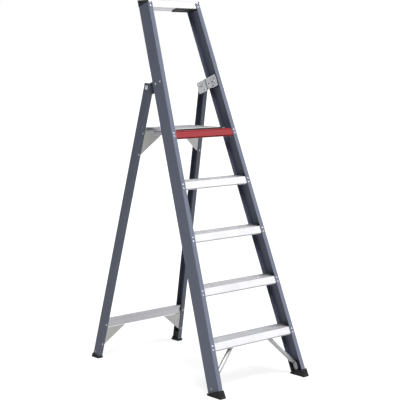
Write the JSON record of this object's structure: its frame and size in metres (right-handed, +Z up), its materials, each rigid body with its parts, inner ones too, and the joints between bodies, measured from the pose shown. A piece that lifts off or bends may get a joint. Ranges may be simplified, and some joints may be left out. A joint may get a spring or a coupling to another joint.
{
  "type": "folding platform step ladder",
  "caption": "Folding step ladder with tapered channel stiles, ridged treads, a lift-up deck, a tall hand rail and a braced rear frame.",
  "frame": {"origin": "on the floor, in the middle of the footprint of the four feet", "axes": "+Z up, the climbing side faces -Y, the rear legs stand towards +Y, +X to the right of a person facing the climbing side"},
  "size_m": [0.5708, 0.979, 1.7823],
  "materials": {
    "stile_coating": "satin blue-grey powder coat",
    "tread_aluminium": "bright extruded, lightly brushed",
    "deck_aluminium": "extruded, ridged, satin",
    "rail_aluminium": "mill finish, satin",
    "rivet_aluminium": "bright drawn",
    "red_coating": "satin powder coat",
    "bracket_steel": "zinc plated",
    "plated_steel": "bright zinc plated",
    "black_plastic": "fine grained moulding",
    "foot_rubber": "matt moulded rubber",
    "nylon": "natural nylon"
  },
  "bodies": {
    "front_frame": {"stile_left": "stile_coating", "stile_right": "stile_coating", "stile_cap_left": "black_plastic", "stile_cap_right": "black_plastic", "tread_1": "tread_aluminium", "tread_2": "tread_aluminium", "tread_3": "tread_aluminium", "tread_4": "tread_aluminium", "platform_front": "red_coating", "top_rail": "rail_aluminium", "top_rail_insert": "black_plastic", "front_foot_left": "foot_rubber", "front_foot_right": "foot_rubber", "hinge_block_left": "black_plastic", "hinge_block_right": "black_plastic", "hinge_bracket_left": "bracket_steel", "hinge_bracket_right": "bracket_steel", "hinge_pin_left": "plated_steel", "hinge_pin_right": "plated_steel", "hinge_washer_left": "plated_steel", "hinge_washer_right": "plated_steel", "platform_hinge_lug_left": "rail_aluminium", "platform_hinge_lug_right": "rail_aluminium", "platform_hinge_pin_left": "plated_steel", "platform_hinge_pin_right": "plated_steel", "brace_left": "rail_aluminium", "brace_right": "rail_aluminium", "tread_rivets": "rivet_aluminium", "platform_front_rivets": "rivet_aluminium", "top_rail_rivets": "rivet_aluminium", "bracket_rivets": "plated_steel", "bracket_screws": "plated_steel", "brace_rivets": "rivet_aluminium"},
    "rear_frame": {"rear_leg_left": "stile_coating", "rear_leg_right": "stile_coating", "rear_leg_cap_left": "black_plastic", "rear_leg_cap_right": "black_plastic", "hinge_bush_left": "nylon", "hinge_bush_right": "nylon", "upper_cross_rail": "rail_aluminium", "lower_cross_rail": "rail_aluminium", "upper_gusset_left": "rail_aluminium", "upper_gusset_right": "rail_aluminium", "lower_gusset_left": "rail_aluminium", "lower_gusset_right": "rail_aluminium", "rear_foot_left": "foot_rubber", "rear_foot_right": "foot_rubber", "upper_gusset_rivets": "rivet_aluminium", "lower_gusset_rivets": "rivet_aluminium", "rear_foot_rivets": "rivet_aluminium"},
    "platform": {"platform_plank_front": "deck_aluminium", "platform_plank_middle": "deck_aluminium", "platform_plank_rear": "deck_aluminium", "platform_side_rail_left": "rail_aluminium", "platform_side_rail_right": "rail_aluminium", "platform_pinch_strip": "black_plastic", "platform_rivets": "rivet_aluminium"}
  },
  "joints": [
    {"name": "rear_frame_fold", "type": "hinge", "parent": "front_frame", "child": "rear_frame", "pos_m": [0, 0.14434, 1.36757], "axis": [-1, 0, 0], "range_deg": [0, 33]},
    {"name": "platform_lift", "type": "hinge", "parent": "front_frame", "child": "platform", "pos_m": [0, -0.01799, 1.164], "axis": [1, 0, 0], "range_deg": [0, 69.5]}
  ],
  "couplings": [
    {"joint": "platform_lift", "follows": "rear_frame_fold", "ratio": 2.1}
  ]
}
